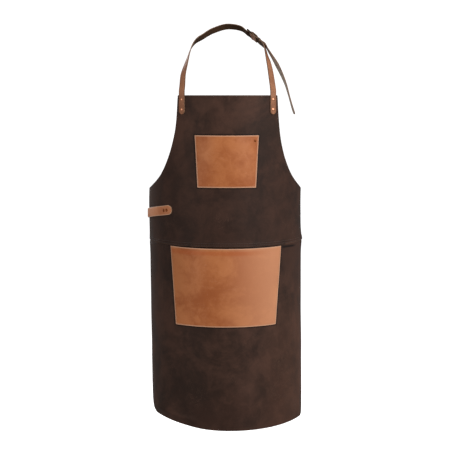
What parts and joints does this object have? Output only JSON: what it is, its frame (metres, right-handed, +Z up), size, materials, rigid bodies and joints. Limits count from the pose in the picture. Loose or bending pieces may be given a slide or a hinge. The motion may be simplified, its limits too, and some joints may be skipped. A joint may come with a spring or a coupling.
{
  "type": "leather bib apron",
  "caption": "Leather bib work apron, worn shape, with chest and lap pockets, a buckled neck strap and a buckled waist strap.",
  "frame": {"origin": "where the neck strap's inner face rests on the nape of the wearer's neck", "axes": "+Z up, the front of the apron faces -Y, +X is the wearer's left"},
  "size_m": [0.4188, 0.3081, 1.0568],
  "materials": {
    "apron_leather": "waxed pull-up leather, matt",
    "pocket_leather": "tan vegetable-tanned leather, satin",
    "strap_leather": "tan bridle leather, satin",
    "buckle_metal": "antique brass",
    "rivet_metal": "polished copper",
    "thread": "waxed thread"
  },
  "bodies": {
    "apron": {"bib_panel": "apron_leather", "skirt_panel": "apron_leather", "chest_pocket": "pocket_leather", "lap_pocket": "pocket_leather", "neck_strap": "strap_leather", "neck_buckle_strap": "strap_leather", "waist_strap": "strap_leather", "waist_buckle_strap": "strap_leather", "left_shoulder_rivet_cap": "rivet_metal", "left_shoulder_rivet_post": "rivet_metal", "right_shoulder_rivet_cap": "rivet_metal", "right_shoulder_rivet_post": "rivet_metal", "waist_tab_rivet_cap": "rivet_metal", "waist_tab_rivet_post": "rivet_metal", "neck_fold_rivet_cap": "rivet_metal", "neck_fold_rivet_post": "rivet_metal", "waist_fold_rivet_cap": "rivet_metal", "waist_fold_rivet_post": "rivet_metal", "chest_pocket_rivet_cap": "rivet_metal", "chest_pocket_rivet_post": "rivet_metal"},
    "neck_frame": {"neck_buckle_frame": "buckle_metal"},
    "neck_tongue": {"neck_buckle_tongue": "buckle_metal"},
    "neck_keeper_loop": {"neck_keeper": "strap_leather"},
    "waist_frame": {"waist_buckle_frame": "buckle_metal"},
    "waist_tongue": {"waist_buckle_tongue": "buckle_metal"},
    "waist_keeper_loop": {"waist_keeper": "strap_leather"}
  },
  "joints": [
    {"name": "neck_frame_hinge", "type": "hinge", "parent": "apron", "child": "neck_frame", "pos_m": [0.0652, -0.0609, -0.0272], "axis": [0.2587, 0.5546, -0.7909], "range_deg": [0, 8]},
    {"name": "neck_tongue_hinge", "type": "hinge", "parent": "neck_frame", "child": "neck_tongue", "pos_m": [0.0652, -0.0609, -0.0272], "axis": [0.2587, 0.5546, -0.7909], "range_deg": [0, 8]},
    {"name": "neck_keeper_slide", "type": "slide", "parent": "apron", "child": "neck_keeper_loop", "axis": [0.4253, -0.8005, -0.4223], "range_m": [-0.007, 0.012]},
    {"name": "waist_frame_hinge", "type": "hinge", "parent": "apron", "child": "waist_frame", "pos_m": [0.012, 0.035, -0.504], "axis": [0, 0, -1], "range_deg": [0, 8]},
    {"name": "waist_tongue_hinge", "type": "hinge", "parent": "waist_frame", "child": "waist_tongue", "pos_m": [0.012, 0.035, -0.504], "axis": [0, 0, -1], "range_deg": [0, 8]},
    {"name": "waist_keeper_slide", "type": "slide", "parent": "apron", "child": "waist_keeper_loop", "axis": [1, 0, 0], "range_m": [-0.007, 0.012]}
  ]
}
